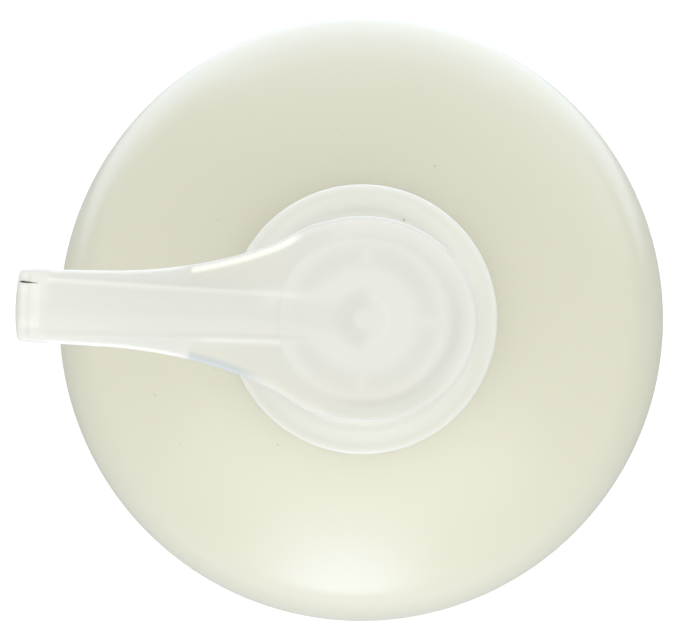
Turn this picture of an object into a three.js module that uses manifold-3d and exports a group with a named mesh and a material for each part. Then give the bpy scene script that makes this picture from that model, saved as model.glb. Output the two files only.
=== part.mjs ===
// A round lotion bottle with a press pump, standing upright on its base.
// Millimetres, +Z up. The origin is the middle of the underside, on the bottle's axis.
// The spout points along -X.

import * as THREE from 'three';
import { mergeVertices } from 'three/addons/utils/BufferGeometryUtils.js';
import Module from 'manifold-3d';

// Bottle
const bottleRadius = 39;
const shoulderHeight = 110;
const shoulderRounding = 12;
const crownRadius = 62;
const heelRadius = 6;
const standingRingWidth = 5;
const pushUpRise = 2.2;
const pushUpPull = 0.7;
const neckRadius = 13.8;
const neckTop = 146.2;
const neckFillet = 0.8;

// Pump pieces
const clearance = 0.3;
const collarRadius = 16.5;
const collarTop = 148.5;
const collarEdge = 1.8;
const lockRingRadius = 11.5;
const lockRingBore = 10;
const lockRingTop = 156;
const lockRingFloor = 2;
const stemRadius = 4.25;
const stemBore = 2.9;
const pressTravel = 14;

// Pump head
const headTop = 194.5;
const headDepth = 10;
const headBack = 12.95;
const headHalfWidth = 11.75;
const shellWall = 1.3;
const shellTop = 1.8;
const edgeRounding = 2;
const spoutReach = 40;
const spoutTilt = THREE.MathUtils.degToRad(4);
const spoutDepth = 7.2;
const tipHalfWidth = 4.15;
const tipLength = 3.5;
const tipBulge = 0.7;
const tipCorner = 0.8;
const tipLip = 0.6;
const wingEnd = 19.6;
const nozzleHalfWidth = 3.2;
const nozzleBore = 1.9;
const mouthRadius = 2.4;
const mouthDepth = 2.2;
const boreBelowTop = 3.9;
const socketRadius = 6.2;
const skirtRadius = 9.6;
const skirtInner = 8.4;
const ribThickness = 1.2;
const ribCount = 4;

// Sizes worked out from the ones above
const collarBore = neckRadius + clearance;
const collarUnderside = neckTop + clearance;
const crownEdge = Math.asin((bottleRadius - shoulderRounding) / (crownRadius - shoulderRounding));
const crownNeck = Math.asin((neckRadius + neckFillet) / crownRadius);
const crownCentre = shoulderHeight - (crownRadius - shoulderRounding) * Math.cos(crownEdge);
const neckRoot = crownCentre + crownRadius * Math.cos(crownNeck);
const collarBottom = neckRoot + neckFillet + clearance;
const lockRingBottom = collarTop + clearance;
const skirtBottom = lockRingTop + pressTravel + 2 * clearance;
const headRim = headTop - headDepth;
const headCeiling = headTop - shellTop;
const stemTop = headTop - boreBelowTop - 2 * nozzleBore - clearance;
const stemBottom = collarTop - pressTravel;
const wellRadius = stemRadius + 2 * clearance;
const wellBottom = stemBottom - pressTravel - 2 * clearance;
const overlap = 0.4;

// Fineness of round forms
const turnSides = 56;
const smallTurnSides = 40;
const curveSteps = 4;
const planSteps = 24;
const edgeSteps = 4;
const mergeDistance = 1e-4;

const wasm = await Module();
wasm.setup();

// Triangles whose three corners are still different after the vertices are merged.
function liveTriangles(index) {
  const kept = [];
  for (let i = 0; i < index.count; i += 3) {
    const corners = [index.getX(i), index.getX(i + 1), index.getX(i + 2)];
    if (new Set(corners).size === 3) kept.push(...corners);
  }
  return kept;
}

function signedVolume(position, triangles) {
  const corner = (i) => new THREE.Vector3().fromBufferAttribute(position, triangles[i]);
  let sum = 0;
  for (let i = 0; i < triangles.length; i += 3) {
    sum += corner(i).dot(corner(i + 1).cross(corner(i + 2))) / 6;
  }
  return sum;
}

// A closed solid, faces outward, from any closed three.js geometry.
function toSolid(geometry) {
  const bare = geometry.clone();
  for (const name of ['normal', 'uv']) bare.deleteAttribute(name);
  const merged = mergeVertices(bare, mergeDistance);
  const triangles = liveTriangles(merged.index);
  if (signedVolume(merged.attributes.position, triangles) < 0) triangles.reverse();
  return new wasm.Manifold(new wasm.Mesh({
    numProp: 3,
    vertProperties: new Float32Array(merged.attributes.position.array),
    triVerts: new Uint32Array(triangles),
  }));
}

function toGeometry(solid) {
  const mesh = solid.getMesh();
  const geometry = new THREE.BufferGeometry();
  geometry.setAttribute('position', new THREE.BufferAttribute(mesh.vertProperties, 3));
  geometry.setIndex(new THREE.BufferAttribute(mesh.triVerts, 1));
  geometry.computeVertexNormals();
  return geometry;
}

// Turns a profile of radius and height about the Z axis.
function turned(profile, sides) {
  return toSolid(new THREE.LatheGeometry(profile.getPoints(curveSteps), sides).rotateX(Math.PI / 2));
}

// A plain ring between two radii and two heights.
function ring(inner, outer, bottom, top) {
  const profile = new THREE.Path();
  profile.moveTo(inner, bottom);
  profile.lineTo(outer, bottom);
  profile.lineTo(outer, top);
  profile.lineTo(inner, top);
  profile.closePath();
  return turned(profile, smallTurnSides);
}

function box(width, depth, height, x, y, z) {
  return toSolid(new THREE.BoxGeometry(width, depth, height).translate(x, y, z));
}

// The outer wall of the bottle, the flat ring that it stands on and the well that the stem slides in.
function bottleSolid() {
  const upright = Math.PI / 2;
  const ringOuter = bottleRadius - heelRadius;
  const ringInner = ringOuter - standingRingWidth;
  const profile = new THREE.Path();
  profile.moveTo(0, pushUpRise);
  profile.quadraticCurveTo(pushUpPull * ringInner, pushUpRise, ringInner, 0);
  profile.lineTo(ringOuter, 0);
  profile.absarc(ringOuter, heelRadius, heelRadius, -upright, 0);
  profile.absarc(bottleRadius - shoulderRounding, shoulderHeight, shoulderRounding, 0, upright - crownEdge);
  profile.absarc(0, crownCentre, crownRadius, upright - crownEdge, upright - crownNeck);
  profile.quadraticCurveTo(neckRadius, neckRoot, neckRadius, neckRoot + neckFillet);
  profile.lineTo(neckRadius, neckTop);
  profile.lineTo(wellRadius, neckTop);
  profile.lineTo(wellRadius, wellBottom);
  profile.lineTo(0, wellBottom);
  return turned(profile, turnSides);
}

// The smooth screw collar: a cap with a rounded top edge and a hole for the stem.
function collarSolid() {
  const profile = new THREE.Path();
  profile.moveTo(collarBore, collarBottom);
  profile.lineTo(collarRadius, collarBottom);
  profile.absarc(collarRadius - collarEdge, collarTop - collarEdge, collarEdge, 0, Math.PI / 2);
  profile.lineTo(wellRadius, collarTop);
  profile.lineTo(wellRadius, collarUnderside);
  profile.lineTo(collarBore, collarUnderside);
  profile.closePath();
  return turned(profile, turnSides);
}

// The ring on the collar that the head screws into when it is locked down.
function lockRingSolid() {
  const floor = lockRingBottom + lockRingFloor;
  const profile = new THREE.Path();
  profile.moveTo(wellRadius, lockRingBottom);
  profile.lineTo(lockRingRadius, lockRingBottom);
  profile.lineTo(lockRingRadius, lockRingTop);
  profile.lineTo(lockRingBore, lockRingTop);
  profile.lineTo(lockRingBore, floor);
  profile.lineTo(wellRadius, floor);
  profile.closePath();
  return turned(profile, smallTurnSides);
}

function stemSolid() {
  return ring(stemBore, stemRadius, stemBottom, stemTop);
}

// Tilts a spout piece down about the axis, from a frame whose XY plane is the spout's top.
function tilted(geometry) {
  return toSolid(geometry.rotateY(-spoutTilt).translate(0, 0, headTop));
}

// An outline raised from a depth below zero up to zero, with its upper edge rounded.
function raised(outline, depth, rounding, steps = curveSteps) {
  return new THREE.ExtrudeGeometry(outline, {
    depth,
    curveSegments: steps,
    bevelEnabled: rounding > 0,
    bevelThickness: rounding,
    bevelSize: rounding,
    bevelOffset: -rounding,
    bevelSegments: edgeSteps,
  }).translate(0, 0, -depth - rounding);
}

function padPlan(inset) {
  const outline = new THREE.Shape();
  outline.absellipse(0, 0, headBack - inset, headHalfWidth - inset, 0, 2 * Math.PI);
  return outline;
}

// The spout from above: it starts inside the pad, leaves it along its edge and narrows in one curve.
function spoutPlan(inset, end) {
  const leave = 0.5 * headBack;
  const leaveHalfWidth = headHalfWidth * Math.sqrt(1 - (leave / headBack) ** 2);
  const leaveSlope = (headHalfWidth / headBack) ** 2 * leave / leaveHalfWidth;
  const straightStart = 0.75 * spoutReach;
  const firstPull = 0.125 * spoutReach;
  const secondPull = 0.275 * spoutReach;
  const curve = new THREE.CubicBezierCurve(
    new THREE.Vector2(leave, leaveHalfWidth),
    new THREE.Vector2(leave + firstPull, leaveHalfWidth - leaveSlope * firstPull),
    new THREE.Vector2(straightStart - secondPull, tipHalfWidth + overlap),
    new THREE.Vector2(straightStart, tipHalfWidth + overlap / 2),
  );
  const root = new THREE.Vector2(leave / 2, leaveHalfWidth - leave / 2);
  const side = [root, ...curve.getPoints(4 * curveSteps).filter((point) => point.x < end)];
  const last = side[side.length - 1];
  const run = (end - last.x) / (spoutReach - last.x);
  side.push(new THREE.Vector2(end, last.y + run * (tipHalfWidth - last.y)));
  const right = side.map((point) => new THREE.Vector2(-point.x, point.y - inset));
  const left = right.map((point) => new THREE.Vector2(point.x, -point.y));
  return new THREE.Shape([...right, ...left.reverse()]);
}

// The plain end of the spout: straight sides, small corners and a front that bulges a little.
function tipPlan() {
  const corner = spoutReach - tipBulge;
  const outline = new THREE.Shape();
  outline.moveTo(-(spoutReach - tipLength), -tipHalfWidth);
  outline.lineTo(-(spoutReach - tipLength), tipHalfWidth);
  outline.lineTo(-(corner - tipCorner), tipHalfWidth);
  outline.quadraticCurveTo(-corner, tipHalfWidth, -corner - tipBulge / 4, tipHalfWidth - tipCorner);
  outline.quadraticCurveTo(-(spoutReach + tipBulge / 4), 0, -corner - tipBulge / 4, tipCorner - tipHalfWidth);
  outline.quadraticCurveTo(-corner, -tipHalfWidth, -(corner - tipCorner), -tipHalfWidth);
  return outline;
}

// The moulded outer form of the head: pad, spout and tip in one.
function headOuter() {
  const pad = toSolid(raised(padPlan(0), headDepth, edgeRounding, planSteps).translate(0, 0, headTop));
  const spout = tilted(raised(spoutPlan(0, spoutReach - tipLength / 2), headDepth, edgeRounding));
  const tip = tilted(raised(tipPlan(), spoutDepth - tipLip, tipLip));
  const reach = 2 * spoutReach;
  const belowRim = box(reach, reach, reach, 0, 0, headRim - reach / 2);
  const belowSpout = tilted(
    new THREE.BoxGeometry(reach, reach, reach).translate(-reach / 2, 0, -spoutDepth - reach / 2));
  return pad.subtract(belowRim).add(spout.subtract(belowSpout)).add(tip);
}

// The space under the pad and in the two wings beside the nozzle, open below.
function headHollow() {
  const underPad = toSolid(raised(padPlan(shellWall), headDepth, 0, planSteps).translate(0, 0, headCeiling));
  const wings = tilted(raised(spoutPlan(shellWall, wingEnd), headDepth, 0).translate(0, 0, -shellTop));
  return underPad.add(wings);
}

// What stands inside the shell: stem socket, locking skirt, the ribs between them and the nozzle.
function headInner() {
  const ceiling = headCeiling + overlap;
  const socket = ring(stemRadius + clearance, socketRadius, skirtBottom, stemTop);
  const socketRoof = ring(stemBore, socketRadius, stemTop - overlap, ceiling);
  const skirt = ring(skirtInner, skirtRadius, skirtBottom, ceiling);
  const ribs = [];
  const ribLength = skirtInner - socketRadius + 2 * overlap;
  const ribMiddle = (skirtInner + socketRadius) / 2;
  const ribHeight = ceiling - headRim;
  for (let i = 0; i < ribCount; i += 1) {
    const rib = new THREE.BoxGeometry(ribLength, ribThickness, ribHeight);
    rib.translate(ribMiddle, 0, headRim + ribHeight / 2).rotateZ(2 * Math.PI * i / ribCount);
    ribs.push(toSolid(rib));
  }
  const nozzleLength = wingEnd + overlap - stemRadius;
  const nozzle = tilted(new THREE.BoxGeometry(nozzleLength, 2 * nozzleHalfWidth, spoutDepth - overlap)
    .translate(-stemRadius - nozzleLength / 2, 0, -(spoutDepth + overlap) / 2));
  return [socketRoof, skirt, ...ribs, nozzle].reduce((sum, piece) => sum.add(piece), socket);
}

// The way out for the lotion: along the spout to its wider mouth.
function headBore() {
  const along = (radius, from, to) => tilted(
    new THREE.CylinderGeometry(radius, radius, to - from, smallTurnSides / 2)
      .rotateZ(Math.PI / 2)
      .translate(-(from + to) / 2, 0, -boreBelowTop));
  const past = spoutReach + tipBulge;
  return along(nozzleBore, 0, past).add(along(mouthRadius, spoutReach - mouthDepth, past));
}

function headSolid() {
  const stemSpace = ring(0, stemRadius + clearance, skirtBottom - clearance, stemTop + clearance);
  return headOuter().subtract(headHollow()).add(headInner()).subtract(stemSpace).subtract(headBore());
}

const creamPlastic = { color: 0xe3e1cd, roughness: 0.4, metalness: 0 };
const naturalPlastic = { color: 0xe6e7df, roughness: 0.3, metalness: 0 };

function piece(name, solid, look) {
  const mesh = new THREE.Mesh(toGeometry(solid), new THREE.MeshStandardMaterial(look));
  mesh.name = name;
  return mesh;
}

const lotionBottle = new THREE.Group();
lotionBottle.add(
  piece('bottle', bottleSolid(), creamPlastic),
  piece('collar', collarSolid(), naturalPlastic),
  piece('lock_ring', lockRingSolid(), naturalPlastic),
  piece('stem', stemSolid(), naturalPlastic),
  piece('head', headSolid(), naturalPlastic),
);

export default lotionBottle;
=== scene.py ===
import math

import bpy
import numpy as np
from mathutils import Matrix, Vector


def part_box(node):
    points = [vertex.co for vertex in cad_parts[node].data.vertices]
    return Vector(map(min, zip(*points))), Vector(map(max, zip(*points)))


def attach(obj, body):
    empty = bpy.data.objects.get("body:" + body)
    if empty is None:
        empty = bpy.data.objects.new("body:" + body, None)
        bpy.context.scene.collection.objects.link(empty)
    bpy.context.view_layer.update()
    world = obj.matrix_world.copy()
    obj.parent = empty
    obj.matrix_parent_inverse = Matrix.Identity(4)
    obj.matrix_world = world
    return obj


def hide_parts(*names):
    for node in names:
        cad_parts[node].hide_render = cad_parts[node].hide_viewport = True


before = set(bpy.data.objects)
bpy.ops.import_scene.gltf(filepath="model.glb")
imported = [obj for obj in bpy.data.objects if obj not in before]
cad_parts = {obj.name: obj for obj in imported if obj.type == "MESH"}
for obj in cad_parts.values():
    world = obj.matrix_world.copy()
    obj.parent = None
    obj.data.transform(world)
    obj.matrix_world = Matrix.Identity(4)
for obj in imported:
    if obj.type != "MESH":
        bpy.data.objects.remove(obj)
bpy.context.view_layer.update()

# Units and the measures that come from the frame, in millimetres
MM = 0.001
tiny = 1e-6
bottle_high = np.array(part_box("bottle"))[1] / MM
collar_low, collar_high = np.array(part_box("collar")) / MM
ring_low, ring_high = np.array(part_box("lock_ring")) / MM
stem_low, stem_high = np.array(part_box("stem")) / MM
head_low, head_high = np.array(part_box("head")) / MM

# Bottle
bottle_radius = bottle_high[0]
neck_top = bottle_high[2]
neck_radius = 13.8
neck_fillet = 0.8
shoulder_height = 110.0
shoulder_rounding = 12.0
crown_radius = 62.0
heel_radius = 6.0
standing_ring = 5.0
push_up = 2.2
bottle_sides = 160

# Pump pieces below the head
clearance = 0.3
collar_radius = collar_high[0]
collar_edge = 0.35
collar_corner = 0.35
groove_radius = 13.0
groove_width = 0.5
groove_depth = 0.08
groove_points = 20
collar_sides = 144
ring_radius = ring_high[0]
ring_bore = 10.0
ring_floor = 2.0
ring_corner = 0.4
ring_sides = 96
stem_radius = stem_high[0]
stem_bore = 2.9
stem_sides = 64
well_radius = stem_radius + 2 * clearance
press_travel = 14.0

# Pump head
head_top = head_high[2]
head_back = head_high[0]
head_half_width = head_high[1]
head_depth = 10.0
head_rim = head_top - head_depth
skirt_bottom = head_low[2]
spout_reach = 40.05
spout_tilt = math.radians(4.0)
spout_depth = 7.2
ridge_at_root = 2.2
ridge_growth = 0.025
spout_slope = math.radians(9.0)
bead_height = 0.08
bead_width = 0.28
tip_half_width = 4.15
tip_length = 3.5
tip_bulge = 0.4
tip_corner = 0.6
tip_lip = 0.6
shell_wall = 0.9
shell_top = 1.5
pad_rounding = 0.4
pad_dish = 0.3
dish_inner = 0.76
dish_outer = 0.90
wing_end = 19.9
nozzle_half_width = 3.1
nozzle_bore = 1.9
mouth_radius = 2.4
mouth_depth = 2.2
bore_below_top = 3.9
socket_radius = 6.2
skirt_radius = 9.6
skirt_inner = 8.4
rib_half_thickness = 0.6
blend_small = 0.5
blend_large = 1.2
head_voxel = 0.25
head_sharp_angle = 50.0

# The milky plastic: depths in millimetres, then strengths set against the photograph
milk_depth = 4.0
probe_depths = (1.8, 2.4, 3.2, 4.4, 6.0, 8.0)
probe_blur = 0.3
probe_blur_growth = 0.35
near_depth = 2.0
near_blur = 0.35
head_whiteness = 0.32
head_cream = 0.2
collar_whiteness = 0.50
collar_cream = 0.28
# Painted light on the turned pieces: lighter towards the top of the picture, and a little towards the
# bottom
collar_tilt = 0.22
collar_rise = 0.26
# Bands on the collar: middle and width as shares of its radius, and strength
light_band = (0.895, 0.025, 0.10)
dark_band = (0.945, 0.022, -0.16)

# Light and shade in the head, as strengths
mouth_light = 0.9
core_light = 0.6
crescent_dark = 0.3
ridge_light = 0.75
ridge_light_gain = 0.45
ridge_dark = 0.7
nozzle_edge_light = 1.2
spout_dark = 0.6
tip_light = 0.5
border_dark = 0.6
rim_glow = 0.7
border_shade = 0.12
crescent_shade = 0.1
upper_wedge_shade = 0.21
lower_wedge_shade = 0.16

# Dust, each grain with its pixel in the photograph and its size in millimetres, and the streak of painted
# shadow on the tip
bottle_dust = [((338, 129), 0.10), ((435, 166), 0.17), ((217, 220), 0.09), ((155, 395), 0.17),
               ((180, 444), 0.09), ((278, 445), 0.12)]
collar_dust = [((404, 220), 0.15)]
bottle_dust_seed = 3
collar_dust_seed = 5
grain_unevenness = 0.25
grain_flatness = 0.5
streak_from_tip = 0.5
streak_to_tip = 3.0
streak_start_share = 0.65
streak_end_share = 0.62
streak_half_width = 0.115
streak_start_growth = 6
streak_taper = 1.2
streak_lift = 0.07
streak_flatness = 0.3

# The photograph's frame in pixels, and the camera over the bottle in millimetres
photo_width = 679
photo_height = 637
bottle_centre_px = (361.2, 319.2)
bottle_radius_px = 302.0
spout_turn = math.radians(2.37)
camera_height = 820.0
outline_height = shoulder_height + 0.6

# The studio: the floor in millimetres, the lights' lift in metres, and their colours
floor_half = 3000.0
floor_glow = 0.7
floor_light_lift = 0.002
world_light = 0.752
white_light = (1.0, 1.0, 1.0)
cool_light = (0.80, 0.90, 1.08)
blue_light = (0.76, 0.87, 1.20)
warm_light = (1.02, 1.0, 0.77)


# Meshes
def new_object(name, vertices_mm, faces, material, sharp_angle=35.0):
    """A smooth-shaded mesh object from vertices in millimetres."""
    mesh = bpy.data.meshes.new(name)
    mesh.from_pydata([tuple(v) for v in np.asarray(vertices_mm) * MM], [], faces)
    mesh.shade_smooth()
    mesh.set_sharp_from_angle(angle=math.radians(sharp_angle))
    mesh.materials.append(material)
    piece = bpy.data.objects.new(name, mesh)
    bpy.context.collection.objects.link(piece)
    return piece


def arc(centre, radius, start, end, steps=10):
    """Points of an arc in the profile plane, from one angle to another in degrees."""
    angles = np.radians(np.linspace(start, end, steps + 1))
    return [(centre[0] + radius * math.cos(a), centre[1] + radius * math.sin(a)) for a in angles]


def turned(name, profile, sides, material):
    """Turns (radius, height) points about the axis; the profile closes on itself or ends on the axis."""
    on_axis = profile[0][0] == 0
    ring_points = profile[1:-1] if on_axis else profile
    angles = np.linspace(0, 2 * math.pi, sides, endpoint=False)
    vertices = [(r * math.cos(a), r * math.sin(a), z) for r, z in ring_points for a in angles]
    faces = []
    rows = len(ring_points)
    joins = rows - 1 if on_axis else rows
    for i in range(joins):
        low, high = i * sides, (i + 1) % rows * sides
        for j in range(sides):
            k = (j + 1) % sides
            faces.append((low + j, low + k, high + k, high + j))
    if on_axis:
        first, last = len(vertices), len(vertices) + 1
        vertices += [(0, 0, profile[0][1]), (0, 0, profile[-1][1])]
        top = (rows - 1) * sides
        for j in range(sides):
            k = (j + 1) % sides
            faces.append((first, k, j))
            faces.append((last, top + j, top + k))
    return new_object(name, vertices, faces, material)


# The bottle and the turned pump pieces
crown_edge = math.asin((bottle_radius - shoulder_rounding) / (crown_radius - shoulder_rounding))
crown_centre = shoulder_height - (crown_radius - shoulder_rounding) * math.cos(crown_edge)


def shoulder_surface(radius):
    """Height of the bottle's shoulder at a distance from the axis."""
    if radius < crown_radius * math.sin(crown_edge):
        return crown_centre + math.sqrt(crown_radius ** 2 - radius ** 2)
    beyond = radius - bottle_radius + shoulder_rounding
    return shoulder_height + math.sqrt(shoulder_rounding ** 2 - beyond ** 2)


def bottle_profile():
    """The outer wall from the middle of the underside to the neck, then the well for the stem."""
    ring_outer = bottle_radius - heel_radius
    ring_inner = ring_outer - standing_ring
    crown_neck = math.asin((neck_radius + neck_fillet) / crown_radius)
    neck_root = crown_centre + crown_radius * math.cos(crown_neck)
    well_bottom = stem_low[2] - press_travel - 2 * clearance
    run = np.linspace(0, 1, 17)
    profile = [(ring_inner * t, push_up * (1 - t ** 2) ** 2) for t in run]
    profile += arc((ring_outer, heel_radius), heel_radius, -90, 0, steps=16)
    profile += arc((bottle_radius - shoulder_rounding, shoulder_height), shoulder_rounding,
                   0, 90 - math.degrees(crown_edge), steps=20)
    profile += arc((0, crown_centre), crown_radius,
                   90 - math.degrees(crown_edge), 90 - math.degrees(crown_neck), steps=24)[1:]
    profile += arc((neck_radius + neck_fillet, neck_root + neck_fillet), neck_fillet, 270, 180, steps=6)[1:]
    profile += [(neck_radius, neck_top), (well_radius, neck_top)]
    return profile + [(well_radius, well_bottom), (0, well_bottom)]


def collar_profile():
    """A smooth cap with a rounded top edge, a faint groove in its top and a hole for the stem."""
    bore = neck_radius + clearance
    foot = collar_low[2]
    top = collar_high[2]
    underside = neck_top + clearance
    profile = arc((collar_radius - collar_corner, foot + collar_corner), collar_corner, -90, 0, steps=5)
    profile += arc((collar_radius - collar_edge, top - collar_edge), collar_edge, 0, 90, steps=14)
    past_groove = groove_radius - 4 * groove_width
    for r in np.linspace(collar_radius - collar_edge, past_groove, groove_points)[1:]:
        profile.append((r, top - groove_depth * math.exp(-((r - groove_radius) / groove_width) ** 2)))
    return profile + [(well_radius, top), (well_radius, underside), (bore, underside), (bore, foot)]


def lock_ring_profile():
    """The ring on the collar that the head screws into when it is locked down."""
    foot, top = ring_low[2], ring_high[2]
    floor = foot + ring_floor
    wall_middle = (ring_radius + ring_bore) / 2
    rounding = min(ring_corner, ring_radius - wall_middle)
    profile = [(well_radius, foot), (ring_radius, foot)]
    profile += arc((ring_radius - rounding, top - rounding), rounding, 0, 90, steps=6)
    profile += arc((ring_bore + rounding, top - rounding), rounding, 90, 180, steps=6)
    return profile + [(ring_bore, floor), (well_radius, floor)]


def stem_profile():
    """A plain tube."""
    return [(stem_bore, stem_low[2]), (stem_radius, stem_low[2]),
            (stem_radius, stem_high[2]), (stem_bore, stem_high[2])]


# The pump head as a field of distances, negative inside
def smooth_min(a, b, blend):
    """The smaller of two distances, rounded where they are about equal."""
    overlap = np.maximum(blend - np.abs(a - b), 0) / blend
    return np.minimum(a, b) - overlap * overlap * blend / 4


def smooth_max(a, b, blend):
    """The larger of two distances, rounded where they are about equal."""
    return -smooth_min(-a, -b, blend)


def smooth_step(value, start, end):
    """From 0 to 1 as a value goes from start to end, level at both."""
    share = np.clip((value - start) / (end - start), 0, 1)
    return share * share * (3 - 2 * share)


def rounded_rise(plan, height, rounding):
    """A plan raised up to height zero, its upper edge rounded."""
    across, up = plan + rounding, height + rounding
    inside = np.minimum(np.maximum(across, up), 0)
    return inside + np.hypot(np.maximum(across, 0), np.maximum(up, 0)) - rounding


def pad_plan(u, y):
    """Distance to the pad's oval outline."""
    k0 = np.hypot(u / head_back, y / head_half_width)
    k1 = np.hypot(u / head_back ** 2, y / head_half_width ** 2)
    return k0 * (k0 - 1) / np.maximum(k1, tiny)


def spout_edge():
    """Half the spout's width along it: it leaves the pad along its edge and narrows in one curve."""
    leave = 0.5 * head_back
    leave_width = head_half_width * math.sqrt(1 - (leave / head_back) ** 2)
    leave_slope = (head_half_width / head_back) ** 2 * leave / leave_width
    straight_start = 0.75 * spout_reach
    first_pull = 0.125 * spout_reach
    second_pull = 0.275 * spout_reach
    taper = 0.2
    points = np.array([
        (leave, leave_width),
        (leave + first_pull, leave_width - leave_slope * first_pull),
        (straight_start - second_pull, tip_half_width + 2 * taper),
        (straight_start, tip_half_width + taper)])
    t = np.linspace(0, 1, 81)[:, None]
    curve = ((1 - t) ** 3 * points[0] + 3 * t * (1 - t) ** 2 * points[1]
             + 3 * t ** 2 * (1 - t) * points[2] + t ** 3 * points[3])
    return np.vstack([curve, (spout_reach, tip_half_width)])


tip_start = spout_reach - tip_length
edge_curve = spout_edge()
edge_slope = np.gradient(edge_curve[:, 1], edge_curve[:, 0])


def spout_plan(u, y):
    """Distance to the spout's outline from above, without its end."""
    half_width = np.interp(u, edge_curve[:, 0], edge_curve[:, 1])
    slope = np.interp(u, edge_curve[:, 0], edge_slope)
    side = (np.abs(y) - half_width) / np.hypot(1, slope)
    return np.maximum(side, edge_curve[0, 0] / 2 - u)


def head_plan(u, y):
    """Distance to the head's outline from above, without the spout's end."""
    return smooth_min(pad_plan(u, y), spout_plan(u, y), blend_large)


def off_ridge_line(u, y):
    """Distance outwards from the nearer of the spout's two ridges."""
    return np.abs(y) - ridge_at_root - ridge_growth * u


def head_surface(u, y):
    """Height of the upper surface: a dished pad, and a drooping spout with a bead along each ridge."""
    border = np.hypot(u / head_back, y / head_half_width)
    beyond_pad = smooth_step(u, 0, 0.6 * head_back)
    dish = pad_dish * (1 - smooth_step(border, dish_inner, dish_outer)) * (1 - beyond_pad)
    droop = math.tan(spout_tilt) * u * beyond_pad
    off_ridge = off_ridge_line(u, y)
    side = smooth_max(off_ridge, np.zeros_like(y), blend_small) - blend_small / 4
    side = math.tan(spout_slope) * side * smooth_step(u, 0.85 * head_back, wing_end)
    bead = bead_height * np.exp(-(off_ridge / bead_width) ** 2)
    bead = bead * smooth_step(u, 0.55 * head_back, 0.9 * head_back)
    return head_top - dish - droop - side + bead


def to_spout(u, z):
    """Distance along the tilted spout and height above its top."""
    drop = z - head_top
    along = u * math.cos(spout_tilt) - drop * math.sin(spout_tilt)
    above = u * math.sin(spout_tilt) + drop * math.cos(spout_tilt)
    return along, above


def head_outer(u, y, z, along, above):
    """The moulded outside: pad, spout with sloped sides and the plain tip."""
    body = rounded_rise(head_plan(u, y), z - head_surface(u, y), pad_rounding)
    pad_below = np.maximum(pad_plan(u, y) - blend_small, head_rim - z)
    below = smooth_min(pad_below, -spout_depth - above, blend_small)
    body = smooth_max(body, below, blend_small)
    body = np.maximum(body, along - (spout_reach - tip_length / 2))
    end = along - (spout_reach - tip_bulge * (y / tip_half_width) ** 2)
    tip = smooth_max(np.abs(y) - tip_half_width, end, tip_corner)
    tip_half_depth = (spout_depth + tip_lip) / 2
    tip = smooth_max(tip, np.abs(above + tip_half_depth) - tip_half_depth, tip_lip)
    tip = smooth_max(tip, tip_start - along, blend_small / 2)
    return smooth_min(body, tip, blend_small / 2)


def head_hollow(u, y, z, along):
    """The space under the pad and in the wings beside the nozzle, open below."""
    inside = rounded_rise(head_plan(u, y) + shell_wall, z - head_surface(u, y) + shell_top, blend_small)
    return smooth_max(inside, along - wing_end, blend_small)


def tube(radius, inner, outer, low, high, z):
    """A ring about the axis between two radii and two heights."""
    wall = np.abs(radius - (inner + outer) / 2) - (outer - inner) / 2
    return smooth_max(wall, np.abs(z - (low + high) / 2) - (high - low) / 2, blend_small)


def head_inner(u, y, z, along, above):
    """Stem socket, locking skirt, the ribs between them and the nozzle."""
    radius = np.hypot(u, y)
    ceiling = head_top - shell_top / 2
    socket = tube(radius, stem_radius + clearance, socket_radius, skirt_bottom, stem_high[2], z)
    roof = tube(radius, stem_bore, socket_radius, stem_high[2], ceiling, z)
    skirt = tube(radius, skirt_inner, skirt_radius, skirt_bottom, ceiling, z)
    across = np.minimum(np.abs(u), np.abs(y)) - rib_half_thickness
    rib_middle, rib_half = (skirt_inner + socket_radius) / 2, (skirt_inner - socket_radius) / 2
    ribs = np.maximum(across, np.abs(radius - rib_middle) - rib_half)
    ribs = np.maximum(ribs, np.maximum(head_rim - z, z - ceiling))
    nozzle = smooth_max(np.abs(y) - nozzle_half_width, -spout_depth - above, 2 * blend_small)
    nozzle = np.maximum(nozzle, z - head_surface(u, y) + shell_top / 2)
    nozzle = np.maximum(nozzle, np.maximum(along - wing_end - 1, stem_radius - along))
    inner = smooth_min(np.minimum(socket, roof), skirt, blend_small)
    inner = smooth_min(inner, ribs, blend_small)
    return smooth_min(inner, nozzle, blend_small)


def head_bore(u, y, z, along, above):
    """The way out for the lotion and the space that the stem stands in."""
    off_axis = np.hypot(y, above + bore_below_top)
    bore = np.maximum(off_axis - nozzle_bore, -along)
    mouth = smooth_max(off_axis - mouth_radius, spout_reach - mouth_depth - along, blend_small)
    radius = np.hypot(u, y)
    stem_space = np.maximum(radius - stem_radius - clearance, z - stem_high[2] - clearance)
    drain = np.maximum(radius - stem_bore, z - head_top + bore_below_top)
    return np.minimum(smooth_min(bore, mouth, blend_small), np.minimum(stem_space, drain))


def head_field(points):
    """Distance to the whole head's surface, about true near it."""
    u, y, z = -points[..., 0], points[..., 1], points[..., 2]
    along, above = to_spout(u, z)
    spot = (u, y, z, along, above)
    shell = smooth_max(head_outer(*spot), -head_hollow(u, y, z, along), blend_small)
    whole = smooth_min(shell, head_inner(*spot), blend_small)
    return smooth_max(whole, -head_bore(*spot), blend_small)


def edge_ends(axis):
    """Selects the near and the far end of every grid edge along an axis."""
    near = [slice(None)] * 3
    far = [slice(None)] * 3
    near[axis], far[axis] = slice(0, -1), slice(1, None)
    return tuple(near), tuple(far)


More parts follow.
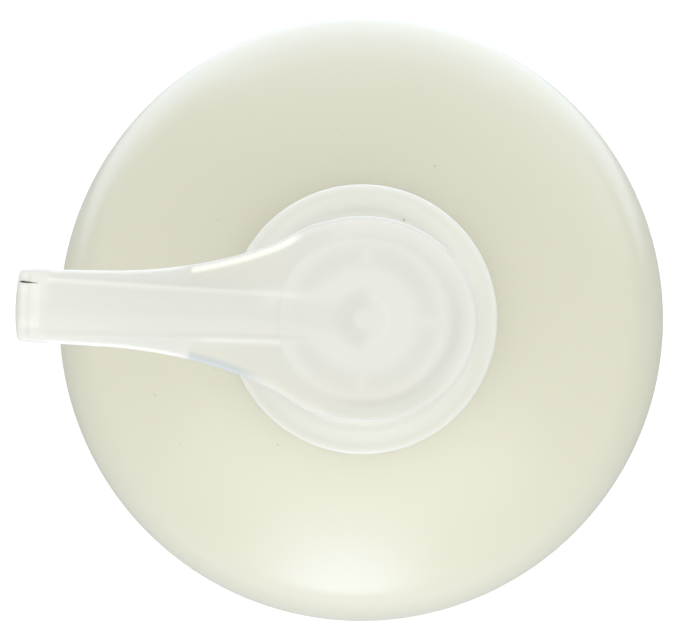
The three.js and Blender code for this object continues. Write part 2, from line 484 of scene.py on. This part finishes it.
def cell_vertices(grid, values, step):
    """One vertex in each cell that the surface crosses, and the vertex's number in each cell."""
    inside = values < 0
    cells = tuple(n - 1 for n in values.shape)
    total = np.zeros(cells + (3,))
    crossings = np.zeros(cells)
    for axis in range(3):
        near, far = edge_ends(axis)
        v0, v1 = values[near], values[far]
        crossed = inside[near] != inside[far]
        share = np.where(crossed, v0 / np.where(crossed, v0 - v1, 1), 0)
        point = grid[near].copy()
        point[..., axis] += share * step
        point *= crossed[..., None]
        others = [k for k in range(3) if k != axis]
        for shift in ((0, 0), (0, 1), (1, 0), (1, 1)):
            part = [slice(None)] * 3
            for k, s in zip(others, shift):
                part[k] = slice(s, s + cells[k])
            total += point[tuple(part)]
            crossings += crossed[tuple(part)]
    used = crossings > 0
    number = np.full(cells, -1)
    number[used] = np.arange(used.sum())
    return total[used] / crossings[used][:, None], number


def cell_faces(inside, number):
    """A quad across each grid edge that the surface crosses, facing outwards."""
    faces = []
    for axis in range(3):
        b, c = (axis + 1) % 3, (axis + 2) % 3
        near, far = edge_ends(axis)
        inner = [slice(None)] * 3
        inner[b] = inner[c] = slice(1, -1)
        flips = (inside[near] != inside[far])[tuple(inner)]
        index = np.argwhere(flips)
        index[:, b] += 1
        index[:, c] += 1
        corners = []
        for s, t in ((0, 0), (1, 0), (1, 1), (0, 1)):
            cell = index.copy()
            cell[:, b] -= s
            cell[:, c] -= t
            corners.append(number[tuple(cell.T)])
        quads = np.stack(corners, -1)
        start = inside[tuple(index.T)]
        quads[~start] = quads[~start][:, ::-1]
        faces.append(quads)
    return np.vstack(faces)


def surface_of(field, low, high, step):
    """A quad mesh of a field's zero surface."""
    axes = [np.arange(a, b + step, step) for a, b in zip(low, high)]
    grid = np.stack(np.meshgrid(*axes, indexing="ij"), -1)
    values = field(grid)
    vertices, number = cell_vertices(grid, values, step)
    return vertices, cell_faces(values < 0, number)


def slope_of(field, points, probe=0.02):
    """The field's slope at each point, which is the surface's outward direction there."""
    steps = np.eye(3) * probe
    return np.stack([(field(points + step) - field(points - step)) / (2 * probe) for step in steps], -1)


def settle(field, vertices, rounds=3, least_slope=0.05):
    """Moves vertices along the field's slope onto its zero surface."""
    for _ in range(rounds):
        slope = slope_of(field, vertices)
        steepness = np.maximum((slope ** 2).sum(-1, keepdims=True), least_slope)
        step = field(vertices)[:, None] * slope / steepness
        vertices = vertices - np.clip(step, -head_voxel, head_voxel)
    return vertices


# Light and shade that the photograph shows in the milky plastic, kept at each vertex; fades in millimetres
def mouth_glow(u, y):
    """Over the mouth the tip looks lighter, and its lip beyond the mouth darker."""
    fade = 0.3
    mouth_start = spout_reach - mouth_depth - 3 * fade
    lip_start = spout_reach - tip_lip
    over_mouth = smooth_step(u, mouth_start, mouth_start + fade)
    over_mouth = over_mouth * (1 - smooth_step(u, lip_start - fade, lip_start))
    over_mouth = over_mouth * (1 - smooth_step(np.abs(y), mouth_radius, mouth_radius + fade))
    return mouth_light * over_mouth - smooth_step(u, lip_start - fade / 3, lip_start + 2 * fade / 3)


def core_shade(u, y):
    """Over the stem's channel: a crescent of painted shade on the spout's side, and the rest as light as
    round it.
    """
    radius = np.hypot(u, y)
    core = 1 - smooth_step(radius, stem_bore - 0.2, stem_bore + 0.6)
    crescent = smooth_step(radius, 0.8, 1.6) * smooth_step(u, -1.4, 0.8)
    crescent = crescent * (1 - smooth_step(radius, stem_bore + 0.3, stem_bore + 0.9))
    return core_light * core * (1 - crescent) - crescent_dark * crescent


def ridge_glow(u, y):
    """The spout's ridges: a painted highlight along the upper, painted shade along the lower, and a painted
    highlight on the edge beside it.
    """
    line = np.exp(-(off_ridge_line(u, y) / bead_width) ** 2)
    line = line * smooth_step(u, 0.4 * head_back, 0.7 * head_back)
    line = line * (1 - smooth_step(u, tip_start - 0.5, tip_start))
    edge = np.exp(-((y + nozzle_half_width) / bead_width) ** 2)
    edge = edge * smooth_step(u, skirt_radius - 0.3, skirt_radius)
    edge = edge * (1 - smooth_step(u, wing_end - 3, wing_end))
    upper = ridge_light + ridge_light_gain * smooth_step(u, skirt_radius, tip_start)
    return line * np.where(y > 0, upper, -ridge_dark) + nozzle_edge_light * edge


def before_wing_end(u):
    """1 up to the end of the wings, then 0."""
    fade = 0.25
    return 1 - smooth_step(u, wing_end - fade, wing_end + fade)


def spout_shade(u, y):
    """Painted shade: 1 on the spout's side towards the top of the picture, up to its tip."""
    along = smooth_step(u, skirt_radius, 1.5 * skirt_radius)
    before_tip = 1 - smooth_step(u, tip_start - 1, tip_start)
    wedge_share = 0.7
    return along * before_tip * smooth_step(y, -0.5, 2.5) * (1 - wedge_share * wedge(u, y))


def cream_behind(vertices):
    """How much of the cream below shows: in the wings, and on the pad's lower side in the picture."""
    u, y = -vertices[:, 0], vertices[:, 1]
    beyond_skirt = smooth_step(u, skirt_radius - 0.5, skirt_radius + 0.5)
    wings = beyond_skirt * smooth_step(np.abs(y), nozzle_half_width, nozzle_half_width + 2)
    pad = (1 - beyond_skirt) * smooth_step(-y, 5.5, 8.0)
    return head_cream * (wings + pad) * before_wing_end(u)


def facing(u, y, degrees, start, end):
    """From 0 to 1 as the direction from the axis nears an angle, measured from the pad's back."""
    along = -u * math.cos(math.radians(degrees)) + y * math.sin(math.radians(degrees))
    return smooth_step(along / np.maximum(np.hypot(u, y), tiny), start, end)


def pad_border(u, y):
    """1 over the pad's wall on the side towards the bottom of the picture, where shade is painted."""
    over_wall = 1 - smooth_step(-head_plan(u, y), 1.0, 1.8)
    return over_wall * facing(u, y, degrees=-90, start=0.4, end=0.9) * (1 - smooth_step(u, 2, 6))


def dish_crescent(u, y):
    """1 on the dish's slope at the pad's back, where shade is painted."""
    border = np.hypot(u / head_back, y / head_half_width)
    slope = smooth_step(border, 0.74, 0.80) * (1 - smooth_step(border, 0.86, 0.92))
    return slope * facing(u, y, degrees=-25, start=0.6, end=0.95)


def wedge(u, y):
    """1 on the sloped sides of the spout between the wings and the tip."""
    before_tip = 1 - smooth_step(u, tip_start - 1, tip_start)
    beyond_wings = smooth_step(u, wing_end, wing_end + 2)
    return smooth_step(off_ridge_line(u, y), 0.3, 0.9) * beyond_wings * before_tip


def filled_at(field, vertices, inward, depth, blur):
    """From 0 to 1: whether plastic lies at a depth below each point, blurred over a distance."""
    return np.clip(0.5 - field(vertices + inward * depth) / blur, 0, 1)


def plastic_behind(field, vertices):
    """How much plastic lies behind each point: sharp beside the spout's pockets, else blurred."""
    inward = -slope_of(field, vertices)
    inward /= np.maximum(np.linalg.norm(inward, axis=1, keepdims=True), tiny)
    deep, total = np.zeros(len(vertices)), 0.0
    for depth in probe_depths:
        share = math.exp(-depth / milk_depth)
        deep += share * filled_at(field, vertices, inward, depth, probe_blur + probe_blur_growth * depth)
        total += share
    near = filled_at(field, vertices, inward, near_depth, near_blur)
    u, y = -vertices[:, 0], vertices[:, 1]
    in_spout = smooth_step(np.hypot(u, y), skirt_radius - 0.4, skirt_radius) * smooth_step(u, 3, 6)
    least, deep_share = 0.18, 0.72
    spout_loss, spout_near = 0.55, 0.42
    return (least + deep_share * deep / total) * (1 - spout_loss * in_spout) + spout_near * in_spout * near


def whiteness(field, vertices):
    """How white the head looks: by the plastic behind each point, and by painted light and shade."""
    u, y = -vertices[:, 0], vertices[:, 1]
    seen = plastic_behind(field, vertices) + tip_light * smooth_step(u, wing_end, spout_reach)
    seen = seen + core_shade(u, y) - border_dark * pad_border(u, y)
    return seen + mouth_glow(u, y) + ridge_glow(u, y) - spout_dark * spout_shade(u, y)


def wall_light(vertices):
    """Light and shade in the walls, seen from above: towards 1 a wall glows, towards -1 it is in shade."""
    u, y = -vertices[:, 0], vertices[:, 1]
    edge = -head_plan(u, y)
    fade = 0.25
    over_wall = 1 - smooth_step(edge, shell_wall - fade, shell_wall + fade)
    lit = smooth_step(u, 7, 9) * smooth_step(edge, 0.1, 0.4) * (y > 0)
    shaded = smooth_step(u, 10, 15) * (y < 0)
    wings = over_wall * before_wing_end(u) * (lit - shaded)
    rim = wedge(u, y) * (1 - smooth_step(edge, fade, 2 * fade))
    shade = border_shade * pad_border(u, y) + crescent_shade * dish_crescent(u, y)
    shade = shade + wedge(u, y) * np.where(y > 0, upper_wedge_shade, lower_wedge_shade)
    top = head_surface(u, y)
    return (wings + rim_glow * rim - shade) * smooth_step(vertices[:, 2], top - 1.0, top - 0.4)


def add_layer(piece, name, values):
    """Keeps one number for each vertex, for the material to read."""
    numbers = piece.data.attributes.new(name, "FLOAT", "POINT")
    numbers.data.foreach_set("value", np.asarray(values, dtype=np.float32))


def turned_whiteness(piece):
    """How white a turned piece is, with painted light: lighter above and below in the picture, and by the
    head where its shadow falls, with two bands.
    """
    x, y = np.array([vertex.co[:2] for vertex in piece.data.vertices]).T / MM
    across = y / collar_radius
    reach = np.hypot(x, y) / collar_radius
    # painted light near the head, where its shadow falls on the collar
    near_head = (0.8 + 0.2 * across) * (1 - smooth_step(reach, 0.79, 0.95))
    bands = 0
    for middle, width, strength in (light_band, dark_band):
        bands = bands + strength * np.exp(-((reach - middle) / width) ** 2)
    overall = collar_whiteness + collar_tilt * across + collar_rise * across ** 2
    return overall + (near_head + bands) * np.abs(across)


def make_head(material):
    """The pump head's mesh, with the three numbers that its material reads at each vertex."""
    margin = 2 * head_voxel
    vertices, faces = surface_of(head_field, head_low - margin, head_high + margin, head_voxel)
    vertices = settle(head_field, vertices)
    head = new_object("pump_head", vertices, faces.tolist(), material, head_sharp_angle)
    add_layer(head, "whiteness", head_whiteness * whiteness(head_field, vertices))
    add_layer(head, "wall_light", wall_light(vertices))
    add_layer(head, "cream_behind", cream_behind(vertices))
    return head


# Dust that the photograph shows, and a streak of painted shadow
def from_picture(right, up):
    """A distance right and up in the picture, turned into the object's frame."""
    along = right * math.cos(spout_turn) - up * math.sin(spout_turn)
    across = right * math.sin(spout_turn) + up * math.cos(spout_turn)
    return np.array((along, across))


def on_level(px, level):
    """The point at a level, in the object's frame, that the photograph shows at a pixel."""
    span = (camera_height - level) / (camera_height - outline_height) * bottle_radius / bottle_radius_px
    right = (px[0] - photo_width / 2) * span
    up = (photo_height / 2 - px[1]) * span
    return from_picture(right, up) + eye_offset()


def eye_offset():
    """Where the camera stands, measured from the bottle's axis."""
    scale_px = bottle_radius_px / bottle_radius
    right = (photo_width / 2 - bottle_centre_px[0]) / scale_px
    up = (bottle_centre_px[1] - photo_height / 2) / scale_px
    return from_picture(right, up)


def speck_mesh(spot, size, chance):
    """One lumpy grain, a flattened ball with its middle at the surface."""
    rings, sides = 5, 10
    vertices = []
    for i in range(1, rings):
        polar = math.pi * i / rings
        for j in range(sides):
            turn = 2 * math.pi * j / sides
            reach = size * chance.uniform(1 - grain_unevenness, 1 + grain_unevenness)
            out = reach * math.sin(polar)
            up = grain_flatness * reach * math.cos(polar)
            vertices.append((out * math.cos(turn), out * math.sin(turn), up))
    vertices += [(0, 0, grain_flatness * size), (0, 0, -grain_flatness * size)]
    faces = []
    for i in range(rings - 2):
        for j in range(sides):
            k = (j + 1) % sides
            faces.append((i * sides + j, (i + 1) * sides + j, (i + 1) * sides + k, i * sides + k))
    last = (rings - 2) * sides
    for j in range(sides):
        k = (j + 1) % sides
        faces.append((len(vertices) - 2, j, k))
        faces.append((len(vertices) - 1, last + k, last + j))
    return np.array(vertices) + spot, faces


def collar_surface(radius):
    """Height of the collar's top, the same at every distance from the axis."""
    return collar_high[2]


def make_specks(name, grains, surface, material, seed):
    """Grains of dust on a surface whose height depends on the distance from the axis."""
    chance = np.random.RandomState(seed)
    vertices, faces = [], []
    rounds = 4
    for px, size in grains:
        level = surface(bottle_radius / 2)
        for _ in range(rounds):
            spot = on_level(px, level)
            level = surface(np.hypot(*spot))
        grain, sides = speck_mesh((*spot, level), size, chance)
        start = len(vertices)
        vertices += grain.tolist()
        faces += [tuple(start + v for v in face) for face in sides]
    return new_object(name, vertices, faces, material)


def make_streak(material):
    """A thin dark streak of painted shadow beside the mouth, tapered along the tip."""
    steps, sides = 12, 8
    start = np.array((streak_from_tip - spout_reach, streak_start_share * tip_half_width))
    end = np.array((streak_to_tip - spout_reach, streak_end_share * tip_half_width))
    vertices = []
    for i in range(steps + 1):
        share = i / steps
        middle = start + (end - start) * share
        width = streak_half_width * min(math.sqrt(streak_start_growth * share), streak_taper * (1 - share))
        level = head_top + middle[0] * math.tan(spout_tilt) + streak_lift
        for j in range(sides):
            turn = 2 * math.pi * j / sides
            aside = width * math.cos(turn)
            up = streak_flatness * width * math.sin(turn)
            vertices.append((middle[0], middle[1] + aside, level + up))
    faces = []
    for i in range(steps):
        low, high = i * sides, (i + 1) * sides
        for j in range(sides):
            k = (j + 1) % sides
            faces.append((low + j, low + k, high + k, high + j))
    return new_object("tip_streak", vertices, faces, material)


# Materials
def new_material(name):
    """A material with its node tree and its shader."""
    material = bpy.data.materials.new(name)
    material.use_nodes = True
    tree = material.node_tree
    return material, tree, tree.nodes["Principled BSDF"]


def noise(tree, scale, detail):
    """Noise in the object's own metres."""
    coordinates = tree.nodes.new("ShaderNodeTexCoord")
    texture = tree.nodes.new("ShaderNodeTexNoise")
    texture.inputs["Scale"].default_value = scale
    texture.inputs["Detail"].default_value = detail
    tree.links.new(coordinates.outputs["Object"], texture.inputs["Vector"])
    return texture


def layer(tree, name):
    """One of the numbers kept for each vertex."""
    node = tree.nodes.new("ShaderNodeAttribute")
    node.attribute_name = name
    return node


def mixed(tree, factor, first, second):
    """A blend of two colours, each another node's output or a plain colour."""
    node = tree.nodes.new("ShaderNodeMix")
    node.data_type = "RGBA"
    tree.links.new(factor, node.inputs["Factor"])
    for name, colour in (("A", first), ("B", second)):
        if isinstance(colour, tuple):
            node.inputs[name].default_value = (*colour, 1)
        else:
            tree.links.new(colour, node.inputs[name])
    return node.outputs["Result"]


def scaled(tree, source, factor):
    """A number times a constant, held between 0 and 1."""
    node = tree.nodes.new("ShaderNodeMath")
    node.operation = "MULTIPLY"
    node.use_clamp = True
    node.inputs[1].default_value = factor
    tree.links.new(source, node.inputs[0])
    return node.outputs["Value"]


def ramp(tree, source, low, high):
    """Maps noise onto a range of colours."""
    node = tree.nodes.new("ShaderNodeValToRGB")
    node.color_ramp.elements[0].position = 0.0
    node.color_ramp.elements[1].position = 1.0
    node.color_ramp.elements[0].color = (*low, 1)
    node.color_ramp.elements[1].color = (*high, 1)
    tree.links.new(source.outputs["Fac"], node.inputs["Fac"])
    return node


def spread(tree, source, low, high):
    """Maps noise onto a range of numbers."""
    node = tree.nodes.new("ShaderNodeMapRange")
    node.inputs["From Min"].default_value = 0.0
    node.inputs["From Max"].default_value = 1.0
    node.inputs["To Min"].default_value = low
    node.inputs["To Max"].default_value = high
    tree.links.new(source.outputs["Fac"], node.inputs["Value"])
    return node


def add_bump(tree, shader, source, height, strength):
    """Fine texture in the surface from noise, its height in metres."""
    node = tree.nodes.new("ShaderNodeBump")
    node.inputs["Distance"].default_value = height
    node.inputs["Strength"].default_value = strength
    tree.links.new(source.outputs["Fac"], node.inputs["Height"])
    tree.links.new(node.outputs["Normal"], shader.inputs["Normal"])


def cream_plastic():
    """Opaque cream blow-moulded plastic: faint clouding, uneven gloss and a fine skin texture."""
    material, tree, shader = new_material("cream_plastic")
    clouds = noise(tree, scale=30, detail=1)
    colour = ramp(tree, clouds, (0.722, 0.706, 0.564), (0.742, 0.726, 0.588))
    tree.links.new(colour.outputs["Color"], shader.inputs["Base Color"])
    gloss = spread(tree, noise(tree, scale=90, detail=1), low=0.26, high=0.33)
    tree.links.new(gloss.outputs["Result"], shader.inputs["Roughness"])
    add_bump(tree, shader, noise(tree, scale=260, detail=1), height=0.00003, strength=0.12)
    shader.inputs["Subsurface Weight"].default_value = 0.3
    shader.inputs["Subsurface Radius"].default_value = (1.0, 0.9, 0.6)
    shader.inputs["Subsurface Scale"].default_value = 0.004
    shader.inputs["IOR"].default_value = 1.55
    shader.inputs["Specular IOR Level"].default_value = 0.95
    return material


def natural_plastic():
    """Uncoloured milky plastic: its colour follows the numbers kept at each vertex, painted light and shade
    among them.
    """
    material, tree, shader = new_material("natural_plastic")
    thick = ramp(tree, noise(tree, scale=60, detail=1), (0.89, 0.89, 0.85), (0.92, 0.92, 0.88))
    thin = ramp(tree, noise(tree, scale=60, detail=1), (0.676, 0.676, 0.634), (0.706, 0.706, 0.662))
    cream_below = (0.73, 0.715, 0.575)
    # lit and shaded copies of the plastic, for painted light and shade
    lit_wall, shaded_wall = (0.98, 0.97, 0.90), (0.555, 0.595, 0.60)
    wall_share = 0.9
    milk = layer(tree, "whiteness").outputs["Fac"]
    cream_share = layer(tree, "cream_behind").outputs["Fac"]
    glow = layer(tree, "wall_light").outputs["Fac"]
    colour = mixed(tree, milk, thin.outputs["Color"], thick.outputs["Color"])
    colour = mixed(tree, cream_share, colour, cream_below)
    colour = mixed(tree, scaled(tree, glow, wall_share), colour, lit_wall)
    colour = mixed(tree, scaled(tree, glow, -wall_share), colour, shaded_wall)
    tree.links.new(colour, shader.inputs["Base Color"])
    gloss = spread(tree, noise(tree, scale=150, detail=1), low=0.15, high=0.22)
    tree.links.new(gloss.outputs["Result"], shader.inputs["Roughness"])
    add_bump(tree, shader, noise(tree, scale=400, detail=1), height=0.00002, strength=0.1)
    shader.inputs["Subsurface Weight"].default_value = 0.5
    shader.inputs["Subsurface Radius"].default_value = (1.0, 1.0, 1.0)
    shader.inputs["Subsurface Scale"].default_value = 0.002
    shader.inputs["IOR"].default_value = 1.49
    return material


def dust(name, low, high):
    """Dull grains, a little darker than the plastic under them."""
    material, tree, shader = new_material(name)
    colour = ramp(tree, noise(tree, scale=3000, detail=2), low, high)
    tree.links.new(colour.outputs["Color"], shader.inputs["Base Color"])
    shader.inputs["Roughness"].default_value = 0.9
    return material


def painted_mouth_shadow():
    """A painted shadow, nearly black."""
    material, tree, shader = new_material("painted_mouth_shadow")
    specks = noise(tree, scale=2500, detail=2)
    colour = ramp(tree, specks, (0.015, 0.015, 0.015), (0.07, 0.068, 0.06))
    tree.links.new(colour.outputs["Color"], shader.inputs["Base Color"])
    shader.inputs["Roughness"].default_value = 0.6
    return material


def floor_material():
    """A plain studio floor with a very faint mottle, overexposed where the camera sees it."""
    material, tree, shader = new_material("floor_white")
    mottle = noise(tree, scale=6, detail=2)
    colour = ramp(tree, mottle, (0.42, 0.42, 0.42), (0.45, 0.45, 0.45))
    tree.links.new(colour.outputs["Color"], shader.inputs["Base Color"])
    shader.inputs["Roughness"].default_value = 0.9
    shader.inputs["Emission Color"].default_value = (1, 1, 1, 1)
    ray = tree.nodes.new("ShaderNodeLightPath")
    glow = scaled(tree, ray.outputs["Is Camera Ray"], floor_glow)
    tree.links.new(glow, shader.inputs["Emission Strength"])
    return material


# The scene round the object
def make_floor():
    """A large plain square under the bottle."""
    half = floor_half
    vertices = [(-half, -half, 0), (half, -half, 0), (half, half, 0), (-half, half, 0)]
    floor = new_object("floor", vertices, [(0, 1, 2, 3)], floor_material())


def soft_box(name, width, height, power, tint):
    """A rectangular area light, still at the origin."""
    light = bpy.data.lights.new(name, "AREA")
    light.shape = "RECTANGLE"
    light.size = width
    light.size_y = height
    light.energy = power
    light.color = tint
    lamp = bpy.data.objects.new(name, light)
    bpy.context.collection.objects.link(lamp)
    return lamp


def area_light(name, azimuth, elevation, distance, width, height, power, tint):
    """A soft box aimed at the shoulder; angles in degrees, azimuth 0 at the top of the picture."""
    lamp = soft_box(name, width, height, power, tint)
    turn = math.radians(90 - azimuth) + spout_turn
    rise = math.radians(elevation)
    aim = np.array((0, 0, shoulder_height * MM))
    away = np.array((math.cos(rise) * math.cos(turn), math.cos(rise) * math.sin(turn), math.sin(rise)))
    lamp.location = aim + distance * away
    lamp.rotation_euler = (math.pi / 2 - rise, 0, turn + math.pi / 2)


def floor_light(name, side, start, depth, width, power, tint):
    """A soft box on the floor, shining up; side 1 is above the bottle in the picture, side -1 below it."""
    lamp = soft_box(name, width, depth, power, tint)
    away = side * (start + depth / 2)
    lamp.location = (-away * math.sin(spout_turn), away * math.cos(spout_turn), floor_light_lift)
    lamp.rotation_euler = (math.pi, 0, spout_turn)
    lamp.visible_camera = False


def make_lights():
    """Soft boxes, with lengths in metres and power in watts, and a white surround."""
    # Azimuth, elevation, distance, width, height, power, tint
    area_light("key", 184, 18, 1.0, 0.38, 0.52, 1.08, blue_light)
    area_light("key_soft", 184, 20, 1.0, 0.70, 0.70, 1.08, cool_light)
    area_light("key_high", 184, 52, 1.0, 1.75, 0.50, 2.0, white_light)
    area_light("panel_above", 0, 6, 0.8, 1.0, 0.50, 1.22, blue_light)
    area_light("panel_right", 52, 10, 0.8, 0.7, 0.40, 0.52, cool_light)
    area_light("panel_left", -45, -2, 0.9, 0.7, 0.16, 0.15, cool_light)
    area_light("overhead", 0, 89, 1.6, 1.2, 1.2, 4.2, warm_light)
    # Side, start, depth, width, power, tint
    floor_light("floor_above", 1, 0.065, 0.39, 0.78, 1.08, cool_light)
    floor_light("floor_far_above", 1, 0.30, 0.80, 1.4, 2.2, cool_light)
    floor_light("floor_below", -1, 0.055, 0.25, 1.2, 0.13, cool_light)
    floor_light("floor_far_below", -1, 0.30, 0.80, 1.6, 2.55, cool_light)
    world = bpy.data.worlds.new("studio")
    world.use_nodes = True
    world.node_tree.nodes["Background"].inputs["Color"].default_value = (*white_light, 1)
    world.node_tree.nodes["Background"].inputs["Strength"].default_value = world_light
    bpy.context.scene.world = world


def make_camera():
    """Looks straight down, turned a little so that the spout points left and slightly up."""
    scale_px = bottle_radius_px / bottle_radius
    camera = bpy.data.cameras.new("camera")
    camera.sensor_fit = "HORIZONTAL"
    camera.lens = camera.sensor_width * scale_px * (camera_height - outline_height) / photo_width
    camera.clip_end = 20.0
    eye = bpy.data.objects.new("camera", camera)
    bpy.context.collection.objects.link(eye)
    eye.location = (*(eye_offset() * MM), camera_height * MM)
    eye.rotation_euler = (0, 0, spout_turn)
    bpy.context.scene.camera = eye


def place(piece, body, node):
    """Makes a piece ride on its body in the place of a node of the frame."""
    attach(piece, body)
    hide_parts(node)


def add_on(piece, body):
    """Makes a small piece ride on a body."""
    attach(piece, body)


# The pieces, each on its body
cream = cream_plastic()
natural = natural_plastic()
bottle_body = turned("bottle_body", bottle_profile(), bottle_sides, cream)
screw_collar = turned("screw_collar", collar_profile(), collar_sides, natural)
locking_ring = turned("locking_ring", lock_ring_profile(), ring_sides, natural)
pump_stem = turned("pump_stem", stem_profile(), stem_sides, natural)
for piece in (screw_collar, locking_ring, pump_stem):
    add_layer(piece, "whiteness", turned_whiteness(piece))
add_layer(screw_collar, "cream_behind", np.full(len(screw_collar.data.vertices), collar_cream))
place(bottle_body, "bottle", "bottle")
place(screw_collar, "bottle", "collar")
place(locking_ring, "bottle", "lock_ring")
place(pump_stem, "stem", "stem")
place(make_head(natural), "head", "head")

pale_dust = dust("pale_dust", (0.60, 0.58, 0.46), (0.72, 0.69, 0.56))
dark_dust = dust("dark_dust", (0.48, 0.46, 0.36), (0.70, 0.67, 0.54))
bottle_specks = make_specks("bottle_dust", bottle_dust, shoulder_surface, pale_dust, bottle_dust_seed)
collar_specks = make_specks("collar_dust", collar_dust, collar_surface, dark_dust, collar_dust_seed)
add_on(bottle_specks, "bottle")
add_on(collar_specks, "bottle")
# A streak of painted shadow at the mouth's edge
add_on(make_streak(painted_mouth_shadow()), "head")

make_floor()
make_lights()
make_camera()
bpy.context.scene.view_settings.view_transform = "Standard"
bpy.context.scene.cycles.use_denoising = True
